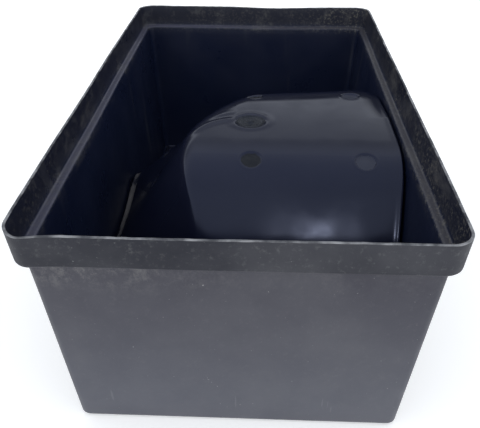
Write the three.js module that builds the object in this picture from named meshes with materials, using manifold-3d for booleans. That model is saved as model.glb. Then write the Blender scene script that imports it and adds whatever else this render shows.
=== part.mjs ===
// Nursery plug tray, millimetres, +Z up. The origin is the middle of the underside of the tub.
// X runs across the tub, Y along it.
//
// Two mouldings:
//   tub           thin-walled open box with drafted walls, an inside ledge and a stepped-out collar
//   insert_plate  loose flexible plate with round blind knock-outs, sprung into an arch in the tub
import Module from "manifold-3d";
import * as THREE from "three";
import { mergeVertices } from "three/addons/utils/BufferGeometryUtils.js";

const wasm = await Module();
wasm.setup();

// Driving dimensions of the tub.
const RIM_WIDTH = 305;
const RIM_LENGTH = 535;
const TUB_HEIGHT = 201;
const SHEET = 2;
const COLLAR_HEIGHT = 27;
const COLLAR_DRAFT = 0.086;
const LEDGE_WIDTH = 7.5;
const WALL_DRAFT = 0.073;
const RIM_CORNER_RADIUS = 17;
const WALL_CORNER_RADIUS = 6;
const FOOT_CORNER_RADIUS = 5;
const FOOT_EDGE_RADIUS = 3.5;

// Driving dimensions of the insert plate. Its flat top lies between three shoulders, where it
// bends down on an arc of a shoulder's radius and then runs straight at the shoulder's slope.
const PLATE_THICKNESS = 2.5;
const PLATE_TOP_HEIGHT = 173;
const FRONT_SHOULDER = { start: 80, radius: 60, slope: 1.35 };
const FRONT_SWEEP = { start: 128, radius: 210, slope: 0.3 };
const BACK_SHOULDER = { start: 8, radius: 120, slope: 1.0 };
const BACK_SHOULDER_SKEW = 0.15;
const LEFT_SHOULDER = { start: 45, radius: 15, slope: 1.5 };
const LEFT_SHOULDER_WAIST = -75;
const LEFT_SHOULDER_CURVE = { front: 0.0026, back: 0.0065, limit: 70, softening: 0.9, flattening: 0.012 };
const BACK_RIGHT_CORNER = { x: 112, y: -20, curve: 0.000127 };
const PLATE_WALL_GAP = 2.5;
const PLATE_FLOOR_GAP = 0.4;

// Knock-outs, blind round recesses in three columns and two rows, round a wide gate well.
const KNOCKOUT_RADIUS = 10;
const KNOCKOUT_DEPTH = 1.3;
const KNOCKOUT_ROWS = [-101, 34];
const KNOCKOUT_COLUMNS = [6, 106];
const FLANK_KNOCKOUT_X = -88;
const FLANK_KNOCKOUT_ROWS = [-56, 30];
const GATE_WELL = { x: 4, y: -32, radius: 16, depth: 1 };
const RECESS_SIDES = 32;
const RECESS_CUTTER_HEIGHT = 8;

const CORNER_STEPS = 6;
const SLOPE_REACH = 1;
const EDGE_ROUND_STEPS = 4;
const PLATE_CELLS_ACROSS = 42;
const PLATE_CELLS_ALONG = 56;

const collarInset = COLLAR_DRAFT * COLLAR_HEIGHT;
const ledgeHeight = TUB_HEIGHT - COLLAR_HEIGHT;

/** How far the wall's outer face stands in from the rim's outline at a height below the ledge. */
function wallInset(height) {
  return collarInset + LEDGE_WIDTH + WALL_DRAFT * (ledgeHeight - height);
}

/** Corner radius of the wall's outer face at a height below the ledge. */
function wallCornerRadius(height) {
  return THREE.MathUtils.mapLinear(height, 0, ledgeHeight, FOOT_CORNER_RADIUS, WALL_CORNER_RADIUS);
}

/** Points of a rounded rectangle, anticlockwise from above, at one height. */
function roundedRing(halfWidth, halfLength, radius, height) {
  const points = [];
  for (let corner = 0; corner < 4; corner += 1) {
    const signX = corner === 0 || corner === 3 ? 1 : -1;
    const signY = corner < 2 ? 1 : -1;
    for (let step = 0; step <= CORNER_STEPS; step += 1) {
      const angle = (corner + step / CORNER_STEPS) * Math.PI / 2;
      const x = signX * (halfWidth - radius) + radius * Math.cos(angle);
      const y = signY * (halfLength - radius) + radius * Math.sin(angle);
      points.push(new THREE.Vector3(x, y, height));
    }
  }
  return points;
}

/** A ring of the tub, set in from the rim's outline. */
function tubRing(inset, height, radius) {
  return roundedRing(RIM_WIDTH / 2 - inset, RIM_LENGTH / 2 - inset, radius, height);
}

/** Rings from the underside's edge up the outer face to the rim. */
function outerRings() {
  const rings = [];
  for (let step = 0; step <= EDGE_ROUND_STEPS; step += 1) {
    const angle = step / EDGE_ROUND_STEPS * Math.PI / 2;
    const height = FOOT_EDGE_RADIUS * (1 - Math.cos(angle));
    const inset = wallInset(height) + FOOT_EDGE_RADIUS * (1 - Math.sin(angle));
    const radius = Math.max(wallCornerRadius(height) - FOOT_EDGE_RADIUS * (1 - Math.sin(angle)), 2);
    rings.push(tubRing(inset, height, radius));
  }
  rings.push(tubRing(wallInset(ledgeHeight), ledgeHeight, WALL_CORNER_RADIUS));
  rings.push(tubRing(collarInset, ledgeHeight, RIM_CORNER_RADIUS - collarInset));
  rings.push(tubRing(0, TUB_HEIGHT, RIM_CORNER_RADIUS));
  return rings;
}

/** Rings from the rim down the inner face to the edge of the floor. */
function innerRings() {
  const rings = [];
  const ledgeTop = ledgeHeight + SHEET;
  const floorRound = FOOT_EDGE_RADIUS - SHEET;
  rings.push(tubRing(SHEET, TUB_HEIGHT, RIM_CORNER_RADIUS - SHEET));
  rings.push(tubRing(collarInset + SHEET, ledgeTop, RIM_CORNER_RADIUS - collarInset - SHEET));
  rings.push(tubRing(wallInset(ledgeTop) + SHEET, ledgeTop, WALL_CORNER_RADIUS - SHEET));
  for (let step = 0; step <= EDGE_ROUND_STEPS; step += 1) {
    const angle = step / EDGE_ROUND_STEPS * Math.PI / 2;
    const height = SHEET + floorRound * (1 - Math.sin(angle));
    const round = floorRound * (1 - Math.cos(angle));
    const radius = Math.max(wallCornerRadius(height) - SHEET - round, 2);
    rings.push(tubRing(wallInset(height) + SHEET + round, height, radius));
  }
  return rings;
}

/** Joins rings of equal length into a closed body, with a fan over the first and the last ring. */
function loftRings(rings) {
  const positions = [];
  const indices = [];
  const count = rings[0].length;
  rings.flat().forEach((point) => positions.push(point.x, point.y, point.z));
  for (let ring = 0; ring < rings.length - 1; ring += 1) {
    for (let side = 0; side < count; side += 1) {
      const here = ring * count + side;
      const next = ring * count + (side + 1) % count;
      indices.push(here, next, next + count, here, next + count, here + count);
    }
  }
  const firstCentre = positions.length / 3;
  positions.push(0, 0, rings[0][0].z);
  const lastCentre = firstCentre + 1;
  positions.push(0, 0, rings[rings.length - 1][0].z);
  const lastStart = (rings.length - 1) * count;
  for (let side = 0; side < count; side += 1) {
    const next = (side + 1) % count;
    indices.push(firstCentre, next, side);
    indices.push(lastCentre, lastStart + side, lastStart + next);
  }
  return indexedGeometry(positions, indices);
}

/** A geometry from plain lists of positions and triangle corners. */
function indexedGeometry(positions, indices) {
  const geometry = new THREE.BufferGeometry();
  geometry.setAttribute("position", new THREE.Float32BufferAttribute(positions, 3));
  geometry.setIndex(indices);
  geometry.computeVertexNormals();
  return geometry;
}

/** How far a face has dropped at a distance past a shoulder's start. */
function shoulderDrop(past, { radius, slope }) {
  if (past <= 0) {
    return 0;
  }
  const arcEnd = radius * slope / Math.hypot(1, slope);
  if (past <= arcEnd) {
    return radius - Math.sqrt(radius * radius - past * past);
  }
  return radius - Math.sqrt(radius * radius - arcEnd * arcEnd) + slope * (past - arcEnd);
}

/** A value that levels off smoothly below a limit. */
function limited(value, limit) {
  return limit * Math.tanh(value / limit);
}

/** Height of the sprung plate's top face, before its recesses are cut. */
function plateTop(x, y) {
  const fromWaist = y - LEFT_SHOULDER_WAIST;
  const leftCurve = fromWaist < 0 ? LEFT_SHOULDER_CURVE.front : LEFT_SHOULDER_CURVE.back;
  const leftShift = limited(leftCurve * fromWaist * fromWaist, LEFT_SHOULDER_CURVE.limit);
  const backShare = fromWaist < 0 ? 0 : leftShift;
  const leftShoulder = {
    radius: LEFT_SHOULDER.radius + LEFT_SHOULDER_CURVE.softening * backShare,
    slope: LEFT_SHOULDER.slope - LEFT_SHOULDER_CURVE.flattening * backShare,
  };
  const frontDrop = shoulderDrop(-y - FRONT_SHOULDER.start, FRONT_SHOULDER)
    + shoulderDrop(-y - FRONT_SWEEP.start, FRONT_SWEEP);
  const backDrop = shoulderDrop(y - BACK_SHOULDER.start - BACK_SHOULDER_SKEW * x, BACK_SHOULDER);
  const leftDrop = shoulderDrop(-x - LEFT_SHOULDER.start + leftShift, leftShoulder);
  const pastCorner = Math.max(x - BACK_RIGHT_CORNER.x, 0) ** 2 * Math.max(y - BACK_RIGHT_CORNER.y, 0);
  return PLATE_TOP_HEIGHT - frontDrop - backDrop - leftDrop - BACK_RIGHT_CORNER.curve * pastCorner;
}

/** The plate's lowest allowed height: it rests on the tub's floor at its ends. */
function restHeight(height) {
  return Math.max(height, SHEET + PLATE_FLOOR_GAP + PLATE_THICKNESS);
}

/** Slopes of the plate's top face along X and Y. */
function plateSlopes(x, y) {
  const slopeX = (plateTop(x + SLOPE_REACH, y) - plateTop(x - SLOPE_REACH, y)) / (2 * SLOPE_REACH);
  const slopeY = (plateTop(x, y + SLOPE_REACH) - plateTop(x, y - SLOPE_REACH)) / (2 * SLOPE_REACH);
  return [slopeX, slopeY];
}

/** Height of the plate's underside, one thickness away from the top face and clear of the floor. */
function plateUnderside(point) {
  const [slopeX, slopeY] = plateSlopes(point.x, point.y);
  const upright = PLATE_THICKNESS * Math.hypot(1, slopeX, slopeY);
  return Math.max(point.z - upright, SHEET + PLATE_FLOOR_GAP);
}

/** Half the plate's width or length where its underside is at a height. */
function plateHalf(rimHalf, topHeight) {
  const underside = topHeight - PLATE_THICKNESS;
  const floorRound = Math.max(FOOT_EDGE_RADIUS - underside, 0);
  return rimHalf - wallInset(underside) - SHEET - PLATE_WALL_GAP - floorRound;
}

/** A grid point of the plate, kept inside the drafted walls and its own rounded corners. */
function platePoint(column, row) {
  const u = 2 * column / PLATE_CELLS_ACROSS - 1;
  const v = 2 * row / PLATE_CELLS_ALONG - 1;
  let x = u * plateHalf(RIM_WIDTH / 2, 0);
  let y = v * plateHalf(RIM_LENGTH / 2, 0);
  let top = restHeight(plateTop(x, y));
  for (let pass = 0; pass < 4; pass += 1) {
    x = u * plateHalf(RIM_WIDTH / 2, top);
    y = v * plateHalf(RIM_LENGTH / 2, top);
    top = restHeight(plateTop(x, y));
  }
  return new THREE.Vector3(x, y, top);
}

/** The sprung plate: a top grid, an underside grid and a closed edge between them. */
function plateGeometry() {
  const positions = [];
  const indices = [];
  const rowLength = PLATE_CELLS_ACROSS + 1;
  const layer = rowLength * (PLATE_CELLS_ALONG + 1);
  for (const underside of [false, true]) {
    for (let row = 0; row <= PLATE_CELLS_ALONG; row += 1) {
      for (let column = 0; column <= PLATE_CELLS_ACROSS; column += 1) {
        const point = platePoint(column, row);
        positions.push(point.x, point.y, underside ? plateUnderside(point) : point.z);
      }
    }
  }
  const at = (column, row, base) => base + row * rowLength + column;
  for (let row = 0; row < PLATE_CELLS_ALONG; row += 1) {
    for (let column = 0; column < PLATE_CELLS_ACROSS; column += 1) {
      const [a, b, c, d] = [
        at(column, row, 0), at(column + 1, row, 0), at(column + 1, row + 1, 0), at(column, row + 1, 0)];
      indices.push(a, b, c, a, c, d);
      indices.push(a + layer, c + layer, b + layer, a + layer, d + layer, c + layer);
    }
  }
  const rim = plateRim();
  rim.forEach(([column, row], place) => {
    const [nextColumn, nextRow] = rim[(place + 1) % rim.length];
    const here = at(column, row, 0);
    const next = at(nextColumn, nextRow, 0);
    indices.push(here, here + layer, next + layer, here, next + layer, next);
  });
  return indexedGeometry(positions, indices);
}

/** Grid places round the plate's edge, anticlockwise from above. */
function plateRim() {
  const rim = [];
  for (let column = 0; column < PLATE_CELLS_ACROSS; column += 1) rim.push([column, 0]);
  for (let row = 0; row < PLATE_CELLS_ALONG; row += 1) rim.push([PLATE_CELLS_ACROSS, row]);
  for (let column = PLATE_CELLS_ACROSS; column > 0; column -= 1) rim.push([column, PLATE_CELLS_ALONG]);
  for (let row = PLATE_CELLS_ALONG; row > 0; row -= 1) rim.push([0, row]);
  return rim;
}

/** A short upright disc sunk into the plate's top face, square to it, that cuts one recess. */
function recessCutter(x, y, radius, depth) {
  const [slopeX, slopeY] = plateSlopes(x, y);
  const normal = new THREE.Vector3(-slopeX, -slopeY, 1).normalize();
  const disc = new THREE.CylinderGeometry(radius, radius, RECESS_CUTTER_HEIGHT, RECESS_SIDES);
  disc.applyQuaternion(new THREE.Quaternion().setFromUnitVectors(new THREE.Vector3(0, 1, 0), normal));
  const centre = new THREE.Vector3(x, y, plateTop(x, y));
  centre.addScaledVector(normal, RECESS_CUTTER_HEIGHT / 2 - depth);
  return disc.translate(centre.x, centre.y, centre.z);
}

/** Cutters for the gate well and every knock-out. */
function recessCutters() {
  const cutters = [recessCutter(GATE_WELL.x, GATE_WELL.y, GATE_WELL.radius, GATE_WELL.depth)];
  for (const row of KNOCKOUT_ROWS) {
    for (const column of KNOCKOUT_COLUMNS) {
      cutters.push(recessCutter(column, row, KNOCKOUT_RADIUS, KNOCKOUT_DEPTH));
    }
  }
  for (const row of FLANK_KNOCKOUT_ROWS) {
    cutters.push(recessCutter(FLANK_KNOCKOUT_X, row, KNOCKOUT_RADIUS, KNOCKOUT_DEPTH));
  }
  return cutters;
}

/** A closed geometry as a solid that can be cut. */
function toSolid(geometry) {
  const bare = geometry.clone();
  bare.deleteAttribute("normal");
  bare.deleteAttribute("uv");
  const merged = mergeVertices(bare);
  const vertProperties = new Float32Array(merged.attributes.position.array);
  const triVerts = new Uint32Array(merged.index.array);
  return new wasm.Manifold(new wasm.Mesh({ numProp: 3, vertProperties, triVerts }));
}

/** The sprung plate with its recesses cut. */
function recessedPlateGeometry() {
  const cut = recessCutters().reduce((solid, cutter) => solid.subtract(toSolid(cutter)), toSolid(plateGeometry()));
  const mesh = cut.getMesh();
  return indexedGeometry(Array.from(mesh.vertProperties), Array.from(mesh.triVerts));
}

/** The stepped, drafted box: outer face, thin rim and inner face lofted as one body. */
function tubMesh() {
  const plastic = new THREE.MeshStandardMaterial({ color: 0x2b2c31, roughness: 0.45, metalness: 0 });
  const mesh = new THREE.Mesh(loftRings([...outerRings(), ...innerRings()]), plastic);
  mesh.name = "tub";
  return mesh;
}

/** The loose plate. */
function insertPlateMesh() {
  const plastic = new THREE.MeshStandardMaterial({ color: 0x1c1e26, roughness: 0.22, metalness: 0 });
  const mesh = new THREE.Mesh(recessedPlateGeometry(), plastic);
  mesh.name = "insert_plate";
  return mesh;
}

const plugTray = new THREE.Group();
plugTray.name = "plug_tray";
plugTray.add(tubMesh(), insertPlateMesh());

export default plugTray;
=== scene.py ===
"""Nursery plug tray: a stepped, thin-walled black tub with a loose flexible plate sprung up inside it."""
import math

import bpy
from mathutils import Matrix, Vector, noise


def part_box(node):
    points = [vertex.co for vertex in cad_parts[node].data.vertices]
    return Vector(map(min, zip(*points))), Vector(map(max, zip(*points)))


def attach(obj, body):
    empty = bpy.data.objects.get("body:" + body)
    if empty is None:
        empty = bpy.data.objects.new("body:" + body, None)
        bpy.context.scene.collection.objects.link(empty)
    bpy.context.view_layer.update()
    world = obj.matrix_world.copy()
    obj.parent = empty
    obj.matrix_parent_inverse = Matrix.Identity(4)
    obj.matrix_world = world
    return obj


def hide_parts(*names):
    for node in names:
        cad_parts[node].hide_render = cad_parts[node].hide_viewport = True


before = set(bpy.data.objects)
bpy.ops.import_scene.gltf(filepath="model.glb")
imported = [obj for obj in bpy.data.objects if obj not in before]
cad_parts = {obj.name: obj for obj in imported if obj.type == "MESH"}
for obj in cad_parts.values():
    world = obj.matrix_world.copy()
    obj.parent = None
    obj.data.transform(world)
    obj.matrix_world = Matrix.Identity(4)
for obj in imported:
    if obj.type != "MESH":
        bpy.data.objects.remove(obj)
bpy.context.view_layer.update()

MM = 0.001

# Places and sizes that come from the frame.
TUB_LOW, TUB_HIGH = (Vector(corner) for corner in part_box("tub"))
HALF_WIDTH = (TUB_HIGH.x - TUB_LOW.x) / 2
HALF_LENGTH = (TUB_HIGH.y - TUB_LOW.y) / 2
RIM_HEIGHT = TUB_HIGH.z
PLATE_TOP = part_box("insert_plate")[1][2]

# The tub's section. The plate's feet clear FOOT_EDGE_RADIUS, and FOOT_ROUNDING is the rounding that shows.
SHEET = 2 * MM
COLLAR_HEIGHT = 27 * MM
COLLAR_DRAFT = 0.086
LEDGE_WIDTH = 7.5 * MM
WALL_DRAFT = 0.073
FOOT_EDGE_RADIUS = 3.5 * MM
FOOT_ROUNDING = 5.5 * MM
LEDGE_HEIGHT = RIM_HEIGHT - COLLAR_HEIGHT
COLLAR_INSET = COLLAR_DRAFT * COLLAR_HEIGHT
# How far in from the wall's foot the flat caps of the underside and the floor begin.
CAP_INSET = 110 * MM
RIM_EDGE_ROUND = 0.6 * MM
STEP_ROUND = 1.6 * MM
LEDGE_FILLET = 2.2 * MM
LEDGE_EDGE_ROUND = 2.5 * MM
FLOOR_FILLET = 2 * MM
# Corner radius of a ring for how far it stands in from the rim: rim, ledge, wall, foot and middle.
CORNER_RADII = [
    (0, 17 * MM),
    (COLLAR_INSET, 15 * MM),
    (10 * MM, 6.5 * MM),
    (24 * MM, 6.5 * MM),
    (CAP_INSET, 1.5 * MM),
]

# The sprung plate. Its curve values are in 1/m, and the back right corner's in 1/m2.
PLATE_THICKNESS = 2.5 * MM
PLATE_WALL_GAP = 2.5 * MM
PLATE_FLOOR_GAP = 0.4 * MM
FRONT_SHOULDER = {"start": 80 * MM, "radius": 60 * MM, "slope": 1.35, "ease": 16 * MM}
FRONT_SWEEP = {"start": 128 * MM, "radius": 210 * MM, "slope": 0.3}
BACK_SHOULDER = {"start": 8 * MM, "radius": 120 * MM, "slope": 1.0}
BACK_SHOULDER_SKEW = 0.15
LEFT_SHOULDER = {"start": 45 * MM, "radius": 15 * MM, "slope": 1.5}
LEFT_SHOULDER_WAIST = -75 * MM
LEFT_SHOULDER_CURVE = {"front": 2.6, "back": 6.5}
LEFT_SHOULDER_LIMIT = 70 * MM
LEFT_SHOULDER_SOFTENING = 0.9
LEFT_SHOULDER_FLATTENING = 12
BACK_RIGHT_CORNER = {"x": 112 * MM, "y": -20 * MM, "curve": 127}
KNOCKOUT_RADIUS = 10 * MM
KNOCKOUT_DEPTH = 1.3 * MM
KNOCKOUT_TILT = Vector((0.55, 0.8, 0)) * 0.1
TOP_KNOCKOUTS = [(x * MM, y * MM) for y in (-101, 34) for x in (6, 106)]
FLANK_KNOCKOUTS = [(-88 * MM, y * MM) for y in (-56, 30)]
KNOCKOUTS = TOP_KNOCKOUTS + FLANK_KNOCKOUTS
GATE_WELL = (4 * MM, -32 * MM)
GATE_WELL_RADIUS = 16 * MM
# How wide, and from where to where along the left edge, a pale strip is painted on the plate as a
# highlight.
PAINTED_HIGHLIGHT_WIDTH = 7 * MM
PAINTED_HIGHLIGHT_FRONT = -75 * MM
PAINTED_HIGHLIGHT_BACK = 45 * MM


# ---------------------------------------------------------------- mesh helpers

def make_object(name, vertices, faces, material_of_face, materials):
    """A smooth-shaded mesh object with one material number for each face."""
    mesh = bpy.data.meshes.new(name)
    mesh.from_pydata(vertices, [], faces)
    for material in materials:
        mesh.materials.append(material)
    for polygon, number in zip(mesh.polygons, material_of_face):
        polygon.material_index = number
        polygon.use_smooth = True
    mesh.validate()
    mesh.update()
    piece = bpy.data.objects.new(name, mesh)
    bpy.context.scene.collection.objects.link(piece)
    return piece


def filleted(corners, steps=5):
    """A section line through (inset, height, radius) corners, with each corner rounded to its radius."""
    line = [Vector(corners[0][:2])]
    for before, here, after in zip(corners, corners[1:], corners[2:]):
        corner = Vector(here[:2])
        to_before = (Vector(before[:2]) - corner).normalized()
        to_after = (Vector(after[:2]) - corner).normalized()
        half_angle = to_before.angle(to_after) / 2
        reach = here[2] / math.tan(half_angle)
        centre = corner + (to_before + to_after).normalized() * here[2] / math.sin(half_angle)
        start = corner + to_before * reach - centre
        end = corner + to_after * reach - centre
        for step in range(steps + 1):
            blend = start.lerp(end, step / steps).normalized()
            line.append(centre + blend * here[2])
    line.append(Vector(corners[-1][:2]))
    return line


def with_extra_points(line, longest):
    """The same line with points added so that no stretch is longer than a length."""
    points = [line[0]]
    for start, end in zip(line, line[1:]):
        parts = max(1, math.ceil((end - start).length / longest))
        points += [start.lerp(end, part / parts) for part in range(1, parts + 1)]
    return points


# ---------------------------------------------------------------- the tub

CORNER_STEPS = 10
LONG_STEPS = 90
SHORT_STEPS = 54
SECTION_STEP = 9 * MM
# Faces less than this far below the top belong to the rim edge.
RIM_BAND = 0.7 * MM
# Material numbers of the tub's faces.
OUTSIDE, RIM, INSIDE = range(3)


def wall_inset(height):
    """How far the wall's outer face stands in from the rim's outline at a height."""
    return COLLAR_INSET + LEDGE_WIDTH + WALL_DRAFT * (LEDGE_HEIGHT - height)


def tub_section():
    """(inset, height) points from the underside's middle, over the rim, to the floor's middle."""
    ledge_top = LEDGE_HEIGHT + SHEET
    corners = [
        (wall_inset(0) + CAP_INSET, 0, 0),
        (wall_inset(0), 0, FOOT_ROUNDING),
        (wall_inset(LEDGE_HEIGHT), LEDGE_HEIGHT, STEP_ROUND),
        (COLLAR_INSET, LEDGE_HEIGHT, STEP_ROUND),
        (0, RIM_HEIGHT, RIM_EDGE_ROUND),
        (SHEET, RIM_HEIGHT, RIM_EDGE_ROUND),
        (COLLAR_INSET + SHEET, ledge_top, LEDGE_FILLET),
        (wall_inset(ledge_top) + SHEET, ledge_top, LEDGE_EDGE_ROUND),
        (wall_inset(SHEET) + SHEET, SHEET, FLOOR_FILLET),
        (wall_inset(0) + CAP_INSET, SHEET, 0),
    ]
    return with_extra_points(filleted(corners), SECTION_STEP)


def corner_radius(inset):
    """Corner radius of the ring that stands in from the rim by a distance."""
    for (start, first), (end, second) in zip(CORNER_RADII, CORNER_RADII[1:]):
        if inset <= end:
            return first + (second - first) * max(inset - start, 0) / (end - start)
    return CORNER_RADII[-1][1]


def ring_outline(inset):
    """Points of a rounded rectangle, anticlockwise from above, set in from the rim's outline."""
    half_width = HALF_WIDTH - inset
    half_length = HALF_LENGTH - inset
    radius = corner_radius(inset)
    signs = [(1, 1), (-1, 1), (-1, -1), (1, -1)]
    arcs = []
    for corner, (sign_x, sign_y) in enumerate(signs):
        centre = Vector((sign_x * (half_width - radius), sign_y * (half_length - radius)))
        angles = [(corner + step / CORNER_STEPS) * math.pi / 2 for step in range(CORNER_STEPS + 1)]
        arcs.append([centre + radius * Vector((math.cos(angle), math.sin(angle))) for angle in angles])
    points = []
    for corner, arc in enumerate(arcs):
        points += arc
        following = arcs[(corner + 1) % 4][0]
        steps = SHORT_STEPS if corner % 2 == 0 else LONG_STEPS
        points += [arc[-1].lerp(following, step / steps) for step in range(1, steps)]
    return points


def bump(distance, width):
    """A smooth bump of height 1 that fades over a width."""
    return math.exp(-(distance / width) ** 2)


# The warps of a cheap used moulding. They start at a height and are full at the rim.
WARP_START = 120 * MM
WARP_RISE = 80 * MM
SWELL = 0.9 * MM
SWELL_SCALE = 7
END_SHARPNESS = 8
BACK_DIP = {"depth": 1.8 * MM, "x": 30 * MM, "width": 45 * MM}
FRONT_DIP = {"depth": 1.0 * MM, "x": -20 * MM, "width": 80 * MM}
CORNER_DIP = {"depth": 2.4 * MM, "from_side": 12 * MM, "from_end": 4 * MM, "width": 14 * MM}
RAGGED_BAND = 4 * MM
RAGGED_HEIGHT = 0.28 * MM
RAGGED_SCALE = 160
RAGGED_FINE_SCALE = 420
RAGGED_FINE_SHARE = 0.6


def ragged_edge(point):
    """Height of the ragged flash along the rim at a point."""
    coarse = noise.noise(Vector((point.x, point.y, 0)) * RAGGED_SCALE)
    fine = noise.noise(Vector((point.x, point.y, 1)) * RAGGED_FINE_SCALE)
    return RAGGED_HEIGHT * (coarse + RAGGED_FINE_SHARE * fine)


def warped(point):
    """A point of the tub moved by its small warps, dips and ragged edge."""
    high = max(0.0, min(1.0, (point.z - WARP_START) / WARP_RISE))
    side = Vector((point.x / HALF_WIDTH, point.y / HALF_LENGTH))
    swell = noise.noise(Vector((point.x, point.y, point.z)) * SWELL_SCALE)
    point = point.copy()
    point.x += SWELL * swell * abs(side.x) * high
    point.y += SWELL * swell * abs(side.y) * high
    back = max(0.0, side.y) ** END_SHARPNESS
    front = max(0.0, -side.y) ** END_SHARPNESS
    point.z -= BACK_DIP["depth"] * high * back * bump(point.x - BACK_DIP["x"], BACK_DIP["width"])
    point.z -= FRONT_DIP["depth"] * high * front * bump(point.x - FRONT_DIP["x"], FRONT_DIP["width"])
    corner_x = CORNER_DIP["from_side"] - HALF_WIDTH
    corner_y = CORNER_DIP["from_end"] - HALF_LENGTH
    from_corner = Vector((point.x - corner_x, point.y - corner_y)).length
    point.z -= CORNER_DIP["depth"] * high * bump(from_corner, CORNER_DIP["width"])
    if point.z > RIM_HEIGHT - RAGGED_BAND and high:
        point.z += ragged_edge(point)
    return point


def build_tub(materials):
    """The tub as one closed skin of rings: outside, rim edge and inside."""
    section = tub_section()
    vertices = []
    for inset, height in section:
        vertices += [warped(Vector((point.x, point.y, height))) for point in ring_outline(inset)]
    count = len(vertices) // len(section)
    faces = []
    numbers = []
    highest = max(point.y for point in section)
    top_rings = [place for place, point in enumerate(section) if point.y > highest - RIM_BAND]
    for ring in range(len(section) - 1):
        if top_rings[0] <= ring < top_rings[-1]:
            number = RIM
        else:
            number = OUTSIDE if ring < top_rings[0] else INSIDE
        for side in range(count):
            following = (side + 1) % count
            faces.append([ring * count + side, ring * count + following,
                          (ring + 1) * count + following, (ring + 1) * count + side])
            numbers.append(number)
    faces.append(list(range(count))[::-1])
    numbers.append(OUTSIDE)
    last = (len(section) - 1) * count
    faces.append(list(range(last, last + count)))
    numbers.append(INSIDE)
    tub = make_object("tub_skin", vertices, faces, numbers, materials)
    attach(tub, "tub")
    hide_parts("tub")
    return tub


# ---------------------------------------------------------------- the sprung plate

FINE_STEP = 0.9 * MM
COARSE_STEP = 3 * MM
FINE_REACH = 13 * MM
FITTING_ROUNDS = 4
NORMAL_REACH = 0.6 * MM
# Material numbers of the plate's faces, and how far inside a recess's radius its own material starts.
GLOSS, DISC, WELL, PAINTED_HIGHLIGHT = range(4)
DISC_MARGIN = 1.3 * MM
WELL_MARGIN = 2 * MM

# Waves in the sprung sheet: broad ones all over, and finer ones on the lower part of the front slope.
BROAD_WAVE = {"height": 0.45 * MM, "across": 14, "along": 9, "seed": 3}
FINE_WAVE = {"height": 0.32 * MM, "across": 44, "along": 38, "seed": 8}
FINE_WAVE_START = 100 * MM
FINE_WAVE_FULL = 150 * MM

# Flow creases: where each starts (x, y) and how high it is. The bend is in 1/m.
CREASE_STARTS = [(-12 * MM, -29 * MM, 0.8 * MM), (-8 * MM, -12 * MM, 0.4 * MM)]
CREASE_BEND = 20
CREASE_WIDTH = 4.5 * MM
CREASE_RISE = 6 * MM
CREASE_FADE = (34 * MM, 60 * MM)

# Recess details: sloping walls, raised lips round the openings, and the gate well's ridges and stub.
KNOCKOUT_WALL = 2.2 * MM
KNOCKOUT_REACH = KNOCKOUT_RADIUS + 2 * MM
KNOCKOUT_LIP = {"height": 0.25 * MM, "radius": KNOCKOUT_RADIUS + 0.6 * MM, "width": 0.9 * MM}
GATE_WELL_DEPTH = 1.6 * MM
GATE_WELL_WALL = 6 * MM
GATE_WELL_REACH = GATE_WELL_RADIUS + 12 * MM
GATE_WELL_LIP = {"height": 0.4 * MM, "radius": GATE_WELL_RADIUS + 1.5 * MM, "width": 3.0 * MM}
GATE_STUB = {"height": 1.8 * MM, "top": 1.6 * MM, "foot": 3.4 * MM}
RIDGE_HEIGHT = 0.3 * MM
RIDGE_PITCH = 1.1 * MM
RIDGE_START = (3 * MM, 5 * MM)
RIDGE_END = (GATE_WELL_RADIUS - 5 * MM, GATE_WELL_RADIUS - 3 * MM)

# The plate's edge curls up, more on the left than on the right.
EDGE_CURL = 1.8 * MM
EDGE_CURL_LOSS = 1.4 * MM
EDGE_CURL_CHANGE = (-70 * MM, 50 * MM)
EDGE_CURL_INSET = 1.5 * MM
EDGE_CURL_WIDTH = 2.2 * MM


def shoulder_drop(past, shoulder):
    """How far a face has dropped at a distance past a shoulder's start."""
    radius, slope = shoulder["radius"], shoulder["slope"]
    ease = shoulder.get("ease", 0)
    if past <= -ease:
        return 0.0
    if past < ease:
        return (past + ease) ** 3 / (12 * ease * radius)
    eased = ease * ease / (6 * radius)
    arc_end = radius * slope / math.hypot(1, slope)
    if past <= arc_end:
        return eased + radius - math.sqrt(radius * radius - past * past)
    return eased + radius - math.sqrt(radius * radius - arc_end * arc_end) + slope * (past - arc_end)


def limited(value, limit):
    """A value that levels off smoothly below a limit."""
    return limit * math.tanh(value / limit)


def plate_height(x, y):
    """Height of the plate's top face before its recesses."""
    from_waist = y - LEFT_SHOULDER_WAIST
    curve = LEFT_SHOULDER_CURVE["front" if from_waist < 0 else "back"]
    left_shift = limited(curve * from_waist ** 2, LEFT_SHOULDER_LIMIT)
    left_shoulder = dict(LEFT_SHOULDER)
    if from_waist > 0:
        left_shoulder["radius"] += LEFT_SHOULDER_SOFTENING * left_shift
        left_shoulder["slope"] -= LEFT_SHOULDER_FLATTENING * left_shift
    past_corner = max(x - BACK_RIGHT_CORNER["x"], 0) ** 2 * max(y - BACK_RIGHT_CORNER["y"], 0)
    drop = shoulder_drop(-y - FRONT_SHOULDER["start"], FRONT_SHOULDER)
    drop += shoulder_drop(-y - FRONT_SWEEP["start"], FRONT_SWEEP)
    drop += shoulder_drop(y - BACK_SHOULDER["start"] - BACK_SHOULDER_SKEW * x, BACK_SHOULDER)
    drop += shoulder_drop(-x - left_shoulder["start"] + left_shift, left_shoulder)
    drop += BACK_RIGHT_CORNER["curve"] * past_corner
    wave = wave_height(x, y, BROAD_WAVE)
    wave += wave_height(x, y, FINE_WAVE) * smooth_step(-y, FINE_WAVE_START, FINE_WAVE_FULL)
    lowest = SHEET + PLATE_FLOOR_GAP + PLATE_THICKNESS
    return max(PLATE_TOP - drop + wave + crease_height(x, y), lowest)


def wave_height(x, y, wave):
    """Height of one kind of wave in the sheet."""
    place = Vector((x * wave["across"], y * wave["along"], wave["seed"]))
    return wave["height"] * noise.noise(place)


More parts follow.
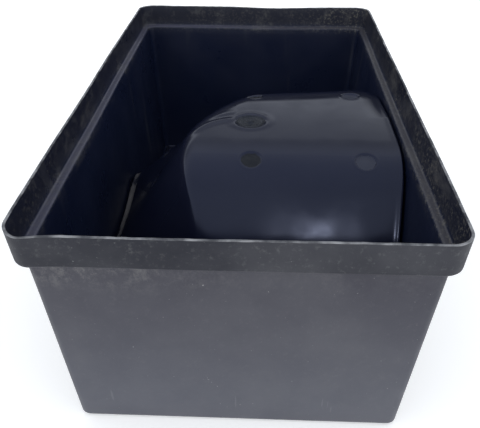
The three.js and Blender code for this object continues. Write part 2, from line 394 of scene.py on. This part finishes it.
def crease_height(x, y):
    """Shallow flow creases that run from the gate well to the left shoulder."""
    height = 0.0
    for start_x, start_y, peak in CREASE_STARTS:
        along = start_x - x
        if along > 0:
            crease_y = start_y - CREASE_BEND * along ** 2
            fade = smooth_step(along, 0, CREASE_RISE) * (1 - smooth_step(along, *CREASE_FADE))
            height += peak * fade * bump(y - crease_y, CREASE_WIDTH)
    return height


def graded_lines(low, high, centres, reach):
    """Grid places from low to high, closely spaced near the centres."""
    places = [low]
    while places[-1] < high:
        here = places[-1]
        near = any(abs(here + COARSE_STEP / 2 - centre) < reach + COARSE_STEP / 2 for centre in centres)
        places.append(here + (FINE_STEP if near else COARSE_STEP))
    places[-1] = high
    return places


def plate_half(rim_half, top):
    """Half the plate's width or length where its top face is at a height."""
    underside = top - PLATE_THICKNESS
    floor_round = max(FOOT_EDGE_RADIUS - underside, 0)
    return rim_half - wall_inset(underside) - SHEET - PLATE_WALL_GAP - floor_round


def smooth_step(value, low, high):
    """0 below low, 1 above high, smooth between."""
    share = max(0.0, min(1.0, (value - low) / (high - low)))
    return share * share * (3 - 2 * share)


def knockout_depth(offset):
    """How far a knock-out sinks the top face at an offset from its centre."""
    distance = offset.length
    if distance >= KNOCKOUT_REACH:
        return 0.0
    sunk = KNOCKOUT_DEPTH + offset.dot(KNOCKOUT_TILT)
    depth = sunk * (1 - smooth_step(distance, KNOCKOUT_RADIUS - KNOCKOUT_WALL, KNOCKOUT_RADIUS))
    return depth - KNOCKOUT_LIP["height"] * bump(distance - KNOCKOUT_LIP["radius"], KNOCKOUT_LIP["width"])


def gate_well_depth(distance):
    """How far the gate well sinks the top face at a distance from its centre."""
    if distance >= GATE_WELL_REACH:
        return 0.0
    wall = smooth_step(distance, GATE_WELL_RADIUS - GATE_WELL_WALL, GATE_WELL_RADIUS)
    lip = GATE_WELL_LIP["height"] * bump(distance - GATE_WELL_LIP["radius"], GATE_WELL_LIP["width"])
    stub = GATE_STUB["height"] * (1 - smooth_step(distance, GATE_STUB["top"], GATE_STUB["foot"]))
    ridged = smooth_step(distance, *RIDGE_START) * (1 - smooth_step(distance, *RIDGE_END))
    ridge = RIDGE_HEIGHT * math.sin(distance / RIDGE_PITCH) * ridged
    return GATE_WELL_DEPTH * (1 - wall) - lip - stub - ridge


def recess(point, centres):
    """How far a point of the top face is sunk by the gate well (the first centre) and the knock-outs."""
    knockouts = sum(knockout_depth(point - centre) for centre in centres[1:])
    return knockouts + gate_well_depth((point - centres[0]).length)


def plate_point(u, v):
    """A point of the plain top face for shares u, v of the half width and half length."""
    top = PLATE_TOP
    for _ in range(FITTING_ROUNDS):
        x = u * plate_half(HALF_WIDTH, top)
        y = v * plate_half(HALF_LENGTH, top)
        top = plate_height(x, y)
    return Vector((x, y, top))


def plate_normal(x, y):
    """The top face's outward normal."""
    reach = NORMAL_REACH
    slope_x = (plate_height(x + reach, y) - plate_height(x - reach, y)) / (2 * reach)
    slope_y = (plate_height(x, y + reach) - plate_height(x, y - reach)) / (2 * reach)
    return Vector((-slope_x, -slope_y, 1)).normalized()


def top_material(middle, centres, at_left_edge):
    """Material number of a top face with its middle at a point."""
    if any((middle - centre).length < KNOCKOUT_RADIUS - DISC_MARGIN for centre in centres[1:]):
        return DISC
    if (middle - centres[0]).length < GATE_WELL_RADIUS - WELL_MARGIN:
        return WELL
    # Faces along the left edge get the pale painted highlight strip.
    if at_left_edge and PAINTED_HIGHLIGHT_FRONT < middle.y < PAINTED_HIGHLIGHT_BACK:
        return PAINTED_HIGHLIGHT
    return GLOSS


def build_plate(materials):
    """The plate as a fine top face, an underside and a closed edge."""
    half_x = plate_half(HALF_WIDTH, PLATE_TOP)
    half_y = plate_half(HALF_LENGTH, PLATE_TOP)
    fine_x = {x for x, _ in KNOCKOUTS} | {GATE_WELL[0], -half_x, half_x}
    fine_y = {y for _, y in KNOCKOUTS} | {GATE_WELL[1], -half_y, half_y}
    across = graded_lines(-half_x, half_x, fine_x, FINE_REACH)
    along = graded_lines(-half_y, half_y, fine_y, FINE_REACH)
    centres = [Vector((x, y, plate_height(x, y))) for x, y in [GATE_WELL] + KNOCKOUTS]
    top_face = []
    underside = []
    lowest = SHEET + PLATE_FLOOR_GAP
    for y in along:
        for x in across:
            point = plate_point(x / half_x, y / half_y)
            normal = plate_normal(point.x, point.y)
            edge = min(half_x - abs(x), half_y - abs(y))
            curl = EDGE_CURL - EDGE_CURL_LOSS * smooth_step(x, *EDGE_CURL_CHANGE)
            lip = curl * bump(edge - EDGE_CURL_INSET, EDGE_CURL_WIDTH)
            top_face.append(point + normal * (lip - recess(point, centres)))
            under_height = max(lowest, point.z - PLATE_THICKNESS / normal.z)
            underside.append(Vector((point.x, point.y, under_height)))
    columns, rows = len(across), len(along)
    layer = columns * rows
    faces = []
    numbers = []
    for row in range(rows - 1):
        for column in range(columns - 1):
            first = row * columns + column
            quad = [first, first + 1, first + 1 + columns, first + columns]
            middle = sum((top_face[place] for place in quad), Vector()) / 4
            at_left_edge = across[column] < PAINTED_HIGHLIGHT_WIDTH - half_x
            faces.append(quad)
            numbers.append(top_material(middle, centres, at_left_edge))
            faces.append([place + layer for place in reversed(quad)])
            numbers.append(GLOSS)
    rim = list(range(columns - 1))
    rim += [row * columns + columns - 1 for row in range(rows - 1)]
    rim += [(rows - 1) * columns + column for column in range(columns - 1, 0, -1)]
    rim += [row * columns for row in range(rows - 1, 0, -1)]
    for here, following in zip(rim, rim[1:] + rim[:1]):
        faces.append([here, here + layer, following + layer, following])
        numbers.append(GLOSS)
    plate = make_object("insert_plate_skin", top_face + underside, faces, numbers, materials)
    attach(plate, "insert_plate")
    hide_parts("insert_plate")
    return plate


# ---------------------------------------------------------------- materials

class Finish:
    """A node material built round a Principled shader, in metres of the object's own space."""

    def __init__(self, name, **settings):
        self.material = bpy.data.materials.new(name)
        self.material.use_nodes = True
        self.nodes = self.material.node_tree.nodes
        self.links = self.material.node_tree.links
        self.shader = self.nodes["Principled BSDF"]
        for key, value in settings.items():
            self.shader.inputs[key.replace("_", " ").title().replace("Ior", "IOR")].default_value = value
        self.place = self.nodes.new("ShaderNodeTexCoord").outputs["Object"]
        self.split = self.nodes.new("ShaderNodeSeparateXYZ")
        self.links.new(self.place, self.split.inputs[0])
        self.facing = self.nodes.new("ShaderNodeSeparateXYZ")
        self.links.new(self.nodes.new("ShaderNodeNewGeometry").outputs["Normal"], self.facing.inputs[0])

    def plug(self, socket, value):
        """Gives an input a constant or joins it to an output."""
        if isinstance(value, bpy.types.NodeSocket):
            self.links.new(value, socket)
        else:
            socket.default_value = value

    def noise(self, scale, detail=3.0, stretch=(1, 1, 1), roughness=0.55):
        """Fractal noise from 0 to 1, with features stretched along an axis by a smaller factor."""
        mapping = self.nodes.new("ShaderNodeMapping")
        mapping.inputs["Scale"].default_value = stretch
        self.links.new(self.place, mapping.inputs["Vector"])
        texture = self.nodes.new("ShaderNodeTexNoise")
        texture.inputs["Scale"].default_value = scale
        texture.inputs["Detail"].default_value = detail
        texture.inputs["Roughness"].default_value = roughness
        self.links.new(mapping.outputs["Vector"], texture.inputs["Vector"])
        return texture.outputs["Fac"]

    def ranged(self, value, low, high, to_low=0.0, to_high=1.0):
        """A value mapped smoothly from one range to another, and kept inside it."""
        node = self.nodes.new("ShaderNodeMapRange")
        node.interpolation_type = "SMOOTHSTEP"
        self.plug(node.inputs["Value"], value)
        node.inputs["From Min"].default_value = low
        node.inputs["From Max"].default_value = high
        node.inputs["To Min"].default_value = to_low
        node.inputs["To Max"].default_value = to_high
        return node.outputs["Result"]

    def maths(self, operation, first, second):
        """One arithmetic step."""
        node = self.nodes.new("ShaderNodeMath")
        node.operation = operation
        self.plug(node.inputs[0], first)
        self.plug(node.inputs[1], second)
        return node.outputs[0]

    def mixed(self, share, first, second):
        """One colour blended into another."""
        node = self.nodes.new("ShaderNodeMix")
        node.data_type = "RGBA"
        self.plug(node.inputs["Factor"], share)
        self.plug(node.inputs["A"], (*first, 1) if isinstance(first, tuple) else first)
        self.plug(node.inputs["B"], (*second, 1) if isinstance(second, tuple) else second)
        return node.outputs["Result"]

    def bumped(self, height, distance, strength=1.0, before=None):
        """A bump from a height, on top of an earlier one."""
        node = self.nodes.new("ShaderNodeBump")
        node.inputs["Strength"].default_value = strength
        node.inputs["Distance"].default_value = distance
        self.links.new(height, node.inputs["Height"])
        if before is not None:
            self.links.new(before, node.inputs["Normal"])
        return node.outputs["Normal"]

    def finish(self, colour, roughness, normal):
        """Joins the three results to the shader and gives the material."""
        self.plug(self.shader.inputs["Base Color"], colour)
        self.plug(self.shader.inputs["Roughness"], roughness)
        self.links.new(normal, self.shader.inputs["Normal"])
        return self.material


def outside_plastic():
    """Dull outer face: greyer towards the foot, darker on the collar, with dust, scratches and specks."""
    finish = Finish("tub_outside", specular_ior_level=0.32)
    height = finish.split.outputs["Z"]
    rise = finish.ranged(height, 0.0, LEDGE_HEIGHT, 1.0, 0.0)
    wall = finish.mixed(rise, (0.036, 0.035, 0.047), (0.084, 0.086, 0.104))
    collar_share = finish.ranged(height, LEDGE_HEIGHT - 1 * MM, LEDGE_HEIGHT + 1 * MM)
    plain = finish.mixed(collar_share, wall, (0.005, 0.006, 0.013))
    cloud = finish.ranged(finish.noise(9, 5), 0.38, 0.72)
    clouded = finish.mixed(finish.maths("MULTIPLY", cloud, 0.30), plain, (0.10, 0.10, 0.11))
    below_collar = finish.ranged(height, LEDGE_HEIGHT - 36 * MM, LEDGE_HEIGHT - 6 * MM)
    under_collar = finish.maths("MULTIPLY", below_collar, finish.ranged(collar_share, 0, 1, 1, 0))
    to_left = finish.ranged(finish.split.outputs["X"], -0.11, 0.02, 1.0, 0.2)
    powder = finish.ranged(finish.noise(64, 9, (1, 1, 0.8), 0.85), 0.46, 0.64)
    powder_share = finish.maths("MULTIPLY", finish.maths("MULTIPLY", powder, under_collar), to_left)
    powder_share = finish.maths("MULTIPLY", powder_share, 0.42)
    powdered = finish.mixed(powder_share, clouded, (0.21, 0.205, 0.195))
    dust = finish.ranged(finish.noise(230, 7, roughness=0.75), 0.52, 0.72)
    dust_share = finish.maths("MULTIPLY", dust, finish.ranged(collar_share, 0, 1, 0.07, 0.16))
    dusty = finish.mixed(dust_share, powdered, (0.24, 0.24, 0.23))
    scratch = finish.ranged(finish.noise(110, 2, (1.6, 1.6, 0.12)), 0.74, 0.78)
    scratched = finish.mixed(finish.maths("MULTIPLY", scratch, 0.25), dusty, (0.20, 0.20, 0.21))
    speck = finish.ranged(finish.noise(420, 2), 0.74, 0.78)
    colour = finish.mixed(finish.maths("MULTIPLY", speck, 0.5), scratched, (0.32, 0.32, 0.31))
    roughness = finish.ranged(finish.noise(30, 4), 0.3, 0.7, 0.42, 0.62)
    grain = finish.bumped(finish.noise(900, 2), 0.12 * MM, 0.5)
    normal = finish.bumped(finish.noise(26, 3), 0.8 * MM, 0.35, grain)
    return finish.finish(colour, roughness, normal)


def rim_plastic():
    """The trimmed rim edge: thin torn flash, pale in patches that are partly scuffs and partly a painted
    highlight.
    """
    finish = Finish("tub_rim_edge", specular_ior_level=0.5)
    scuff_and_highlight = finish.ranged(finish.noise(70, 6), 0.35, 0.68)
    # The pale patches are partly scuffs and partly a painted highlight along the trimmed edge.
    colour = finish.mixed(scuff_and_highlight, (0.035, 0.037, 0.045), (0.26, 0.26, 0.27))
    roughness = finish.ranged(scuff_and_highlight, 0, 1, 0.35, 0.6)
    normal = finish.bumped(finish.noise(600, 4), 0.3 * MM, 0.8)
    return finish.finish(colour, roughness, normal)


def inside_plastic():
    """Smoother, darker inner face: dusty ledge and collar, and draw marks down the walls."""
    finish = Finish("tub_inside", specular_ior_level=0.25)
    height = finish.split.outputs["Z"]
    upward = finish.ranged(finish.facing.outputs["Z"], 0.55, 0.9)
    ledge = finish.maths("MULTIPLY", upward, finish.ranged(height, LEDGE_HEIGHT - 4 * MM, LEDGE_HEIGHT))
    collar = finish.ranged(height, LEDGE_HEIGHT + 2 * MM, LEDGE_HEIGHT + 8 * MM)
    patch = finish.ranged(finish.noise(14, 4), 0.35, 0.7)
    wall = finish.mixed(patch, (0.0058, 0.0088, 0.0245), (0.0085, 0.0120, 0.0300))
    upper = finish.mixed(collar, wall, (0.012, 0.0135, 0.024))
    ledge_colour = finish.mixed(finish.ranged(finish.split.outputs["X"], -0.10, 0.12),
                                (0.060, 0.061, 0.091), (0.047, 0.046, 0.058))
    plain = finish.mixed(ledge, upper, ledge_colour)
    smear = finish.ranged(finish.noise(38, 7, (1, 0.5, 1), 0.7), 0.50, 0.72)
    near_top = finish.ranged(height, LEDGE_HEIGHT - 8 * MM, LEDGE_HEIGHT + 2 * MM)
    smeared = finish.mixed(finish.maths("MULTIPLY", finish.maths("MULTIPLY", smear, near_top), 0.45),
                           plain, (0.13, 0.125, 0.12))
    grit = finish.ranged(finish.noise(330, 6, roughness=0.7), 0.50, 0.68)
    gritty_place = finish.ranged(finish.noise(16, 3), 0.36, 0.54)
    at_right = finish.ranged(finish.split.outputs["X"], 0.06, 0.13, 0.35, 1.0)
    grit_share = finish.maths("MULTIPLY", finish.maths("MULTIPLY", grit, gritty_place),
                              finish.maths("MULTIPLY", near_top, at_right))
    gritty = finish.mixed(finish.maths("MULTIPLY", grit_share, 0.85), smeared, (0.13, 0.122, 0.105))
    mark = finish.ranged(finish.noise(48, 3, (1, 1, 0.06)), 0.60, 0.72)
    colour = finish.mixed(finish.maths("MULTIPLY", mark, 0.30), gritty, (0.045, 0.047, 0.056))
    roughness = finish.ranged(finish.noise(24, 4), 0.3, 0.7, 0.26, 0.42)
    draw = finish.bumped(finish.noise(70, 2, (1, 1, 0.05)), 0.25 * MM, 0.35)
    normal = finish.bumped(finish.noise(10, 2), 1.6 * MM, 0.35, draw)
    return finish.finish(colour, roughness, normal)


def plate_plastic():
    """Smooth glossy plate with a thin haze and a few settled dust marks."""
    finish = Finish("plate_gloss", specular_ior_level=0.33, specular_tint=(0.65, 0.72, 1.0, 1))
    haze = finish.ranged(finish.noise(11, 5), 0.35, 0.75)
    haze_share = finish.maths("MULTIPLY", haze, 0.5)
    colour = finish.mixed(haze_share, (0.0060, 0.0075, 0.0190), (0.0120, 0.0135, 0.0260))
    dust = finish.ranged(finish.noise(160, 6, roughness=0.8), 0.66, 0.76)
    dusted = finish.mixed(finish.maths("MULTIPLY", dust, 0.14), colour, (0.16, 0.16, 0.16))
    roughness = finish.ranged(finish.noise(26, 5), 0.3, 0.75, 0.10, 0.22)
    normal = finish.bumped(finish.noise(22, 2), 0.35 * MM, 0.25)
    return finish.finish(dusted, roughness, normal)


def knockout_plastic():
    """The thinner floor of a knock-out: less glossy than the plate, and paler on the right as a painted
    patch of light.
    """
    finish = Finish("knockout_floor", specular_ior_level=0.22, specular_tint=(0.8, 0.85, 1.0, 1))
    mottle = finish.ranged(finish.noise(240, 4), 0.4, 0.7)
    dark = finish.mixed(mottle, (0.004, 0.005, 0.008), (0.010, 0.011, 0.013))
    # Paler on the right-hand knock-outs: a painted patch of light.
    at_right = finish.ranged(finish.split.outputs["X"], 0.05, 0.08)
    colour = finish.mixed(at_right, dark, (0.028, 0.031, 0.048))
    roughness = finish.ranged(finish.noise(90, 3), 0.3, 0.7, 0.34, 0.5)
    normal = finish.bumped(finish.noise(500, 3), 0.15 * MM, 0.5)
    return finish.finish(colour, roughness, normal)


def well_plastic():
    """The gate well's floor: rough, pitted and darker than the gloss round it."""
    finish = Finish("gate_well_floor", specular_ior_level=0.26, specular_tint=(0.8, 0.85, 1.0, 1))
    mottle = finish.ranged(finish.noise(300, 4), 0.4, 0.7)
    colour = finish.mixed(mottle, (0.004, 0.006, 0.011), (0.016, 0.018, 0.024))
    roughness = finish.ranged(finish.noise(200, 3), 0.3, 0.7, 0.16, 0.34)
    normal = finish.bumped(finish.noise(230, 3), 1.2 * MM, 1.0)
    return finish.finish(colour, roughness, normal)


def painted_highlight_edge_plastic():
    """The plate's left edge next to the tub's wall: a pale strip in patches, a painted highlight."""
    finish = Finish("plate_edge_painted_highlight", specular_ior_level=0.35)
    highlight_patches = finish.ranged(finish.noise(60, 4, (1, 0.3, 1)), 0.38, 0.62)
    # The pale colour is a painted highlight along the plate's left edge, not wear.
    colour = finish.mixed(highlight_patches, (0.012, 0.014, 0.026), (0.12, 0.115, 0.12))
    roughness = finish.ranged(highlight_patches, 0, 1, 0.2, 0.5)
    normal = finish.bumped(finish.noise(300, 3), 0.3 * MM, 0.6)
    return finish.finish(colour, roughness, normal)


def floor_paper():
    """Plain pale studio floor with the faintest tooth."""
    finish = Finish("studio_floor", specular_ior_level=0.1, emission_strength=0.30)
    tone = finish.ranged(finish.noise(3, 2), 0.3, 0.7)
    colour = finish.mixed(tone, (0.96, 0.95, 0.93), (0.97, 0.96, 0.94))
    normal = finish.bumped(finish.noise(300, 2), 0.05 * MM, 0.1)
    return finish.finish(colour, 0.9, normal)


# ---------------------------------------------------------------- studio

CAMERA_PLACE = Vector((15.9, -582.9, 428.8)) * MM
CAMERA_PITCH = math.radians(33.4)
CAMERA_TURN = math.radians(2.3)
CAMERA_LENS = 46.8
SENSOR_WIDTH = 36
NEAREST_SEEN = 10 * MM
FLOOR_REACH = 12.0
FLOOR_DROP = 0.3 * MM
GLINT = {"place": (0.20, -1.38, 0.98), "target": (0.05, -0.15, 0.12), "size": (0.15, 0.08), "power": 0.6}

# Sky strength at heights above the horizon (the sine of the elevation), towards the front and the back.
FRONT_SKY = [(0.33, 1.4), (0.60, 1.15), (0.85, 1.05)]
BACK_SKY = [(0.26, 0.05), (0.385, 0.97), (0.455, 0.39), (0.85, 1.05)]
SKY_COLOUR = (0.91, 0.955, 1.02, 1)
# The front sky turns into the back sky between these two values of the sky direction's Y.
SKY_CHANGE = (0.2, 0.7)


def add_camera():
    """The camera at the pictured viewing angle."""
    camera = bpy.data.objects.new("camera", bpy.data.cameras.new("camera"))
    camera.data.lens = CAMERA_LENS
    camera.data.sensor_width = SENSOR_WIDTH
    camera.data.sensor_fit = "HORIZONTAL"
    camera.data.clip_start = NEAREST_SEEN
    camera.location = CAMERA_PLACE
    camera.rotation_euler = (math.pi / 2 - CAMERA_PITCH, 0, CAMERA_TURN)
    bpy.context.scene.collection.objects.link(camera)
    bpy.context.scene.camera = camera


def add_floor():
    """A wide pale floor under the tub."""
    signs = [(-1, -1), (1, -1), (1, 1), (-1, 1)]
    corners = [(sign_x * FLOOR_REACH, sign_y * FLOOR_REACH, 0) for sign_x, sign_y in signs]
    floor = make_object("studio_floor", corners, [[0, 1, 2, 3]], [0], [floor_paper()])
    floor.location.z = -FLOOR_DROP


def add_softbox(name, place, target, size, power):
    """A rectangular soft light aimed at a point."""
    light = bpy.data.lights.new(name, "AREA")
    light.shape = "RECTANGLE"
    light.size, light.size_y = size
    light.energy = power
    softbox = bpy.data.objects.new(name, light)
    softbox.location = place
    softbox.rotation_euler = (Vector(target) - Vector(place)).to_track_quat("-Z", "Y").to_euler()
    bpy.context.scene.collection.objects.link(softbox)


def ramp_node(nodes, links, value, low, high, to_low, to_high):
    """A value mapped smoothly from one range to another."""
    ramp = nodes.new("ShaderNodeMapRange")
    ramp.interpolation_type = "SMOOTHSTEP"
    ramp.inputs["From Min"].default_value = low
    ramp.inputs["From Max"].default_value = high
    ramp.inputs["To Min"].default_value = to_low
    ramp.inputs["To Max"].default_value = to_high
    links.new(value, ramp.inputs["Value"])
    return ramp.outputs["Result"]


def sky_profile(nodes, links, height, profile):
    """The sky's strength for a height, smoothly through the profile's points."""
    total = None
    for (low, first), (high, second) in zip(profile, profile[1:]):
        if total is None:
            total = ramp_node(nodes, links, height, low, high, first, second)
            continue
        add = nodes.new("ShaderNodeMath")
        links.new(total, add.inputs[0])
        links.new(ramp_node(nodes, links, height, low, high, 0.0, second - first), add.inputs[1])
        total = add.outputs[0]
    return total


def add_sky():
    """Soft studio surround: bright overhead and in front, and dark low down behind the tub."""
    world = bpy.data.worlds.new("studio")
    world.use_nodes = True
    nodes, links = world.node_tree.nodes, world.node_tree.links
    split = nodes.new("ShaderNodeSeparateXYZ")
    links.new(nodes.new("ShaderNodeTexCoord").outputs["Generated"], split.inputs[0])
    blend = nodes.new("ShaderNodeMix")
    turn = ramp_node(nodes, links, split.outputs["Y"], *SKY_CHANGE, 0.0, 1.0)
    links.new(turn, blend.inputs["Factor"])
    links.new(sky_profile(nodes, links, split.outputs["Z"], FRONT_SKY), blend.inputs["A"])
    links.new(sky_profile(nodes, links, split.outputs["Z"], BACK_SKY), blend.inputs["B"])
    background = nodes["Background"]
    background.inputs["Color"].default_value = SKY_COLOUR
    links.new(blend.outputs["Result"], background.inputs["Strength"])
    bpy.context.scene.world = world


def build_studio():
    """Camera, floor, surround and the softbox for the glint on the plate's front slope."""
    add_camera()
    add_floor()
    add_sky()
    add_softbox("glint_softbox", **GLINT)
    bpy.context.scene.view_settings.view_transform = "Standard"


build_studio()
build_tub([outside_plastic(), rim_plastic(), inside_plastic()])
build_plate([plate_plastic(), knockout_plastic(), well_plastic(), painted_highlight_edge_plastic()])
